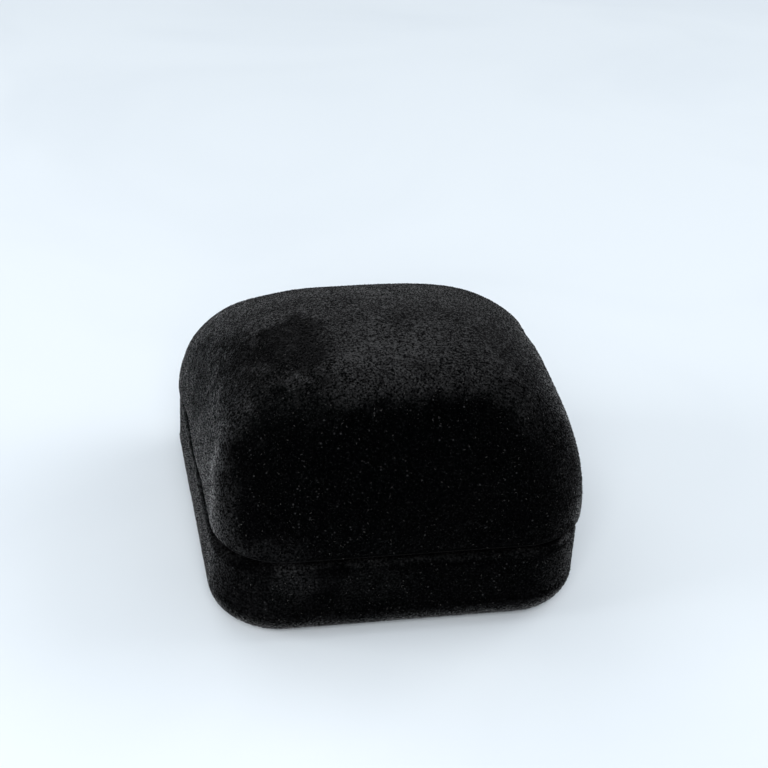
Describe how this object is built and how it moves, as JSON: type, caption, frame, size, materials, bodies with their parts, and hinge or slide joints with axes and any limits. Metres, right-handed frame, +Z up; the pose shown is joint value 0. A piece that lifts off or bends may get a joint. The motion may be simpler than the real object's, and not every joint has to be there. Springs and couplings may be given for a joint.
{
  "type": "ring box",
  "caption": "Clamshell ring box: a velvet-covered tub with slotted ring pads and a domed, satin-lined lid on a sprung hinge that snaps shut.",
  "frame": {"origin": "on the table under the middle of the closed box", "axes": "+Z up, -Y towards the front where the lid opens, +X to the right seen from the front"},
  "size_m": [0.054, 0.06, 0.039],
  "materials": {
    "velvet": "black velvet, dense short pile",
    "inner_velvet": "black velvet, fine short pile",
    "shell": "moulded, matt",
    "card": "grey board",
    "foam": "open-cell foam",
    "wadding": "loose wadding",
    "satin": "ivory satin, smooth sheen",
    "hinge_steel": "plated sheet",
    "rivet_steel": "plated, tumbled",
    "spring_steel": "drawn wire"
  },
  "bodies": {
    "base": {"base_velvet": "velvet", "base_shell": "shell", "collar_board": "card", "collar_velvet": "inner_velvet", "pad_board": "card", "front_foam": "foam", "rear_foam": "foam", "front_pad_velvet": "inner_velvet", "rear_pad_velvet": "inner_velvet", "base_leaf": "hinge_steel", "base_rivets": "rivet_steel", "hinge_pin": "rivet_steel", "left_spring": "spring_steel", "right_spring": "spring_steel"},
    "lid": {"lid_velvet": "velvet", "lid_shell": "shell", "lid_frame": "inner_velvet", "lid_card": "card", "lid_wadding": "wadding", "lid_satin": "satin", "lid_leaf": "hinge_steel", "lid_rivets": "rivet_steel"}
  },
  "joints": [
    {"name": "lid_hinge", "type": "hinge", "parent": "base", "child": "lid", "pos_m": [0, 0.02873, 0.0128], "axis": [-1, 0, 0], "range_deg": [0, 95], "deforming": ["left_spring", "right_spring"]}
  ]
}
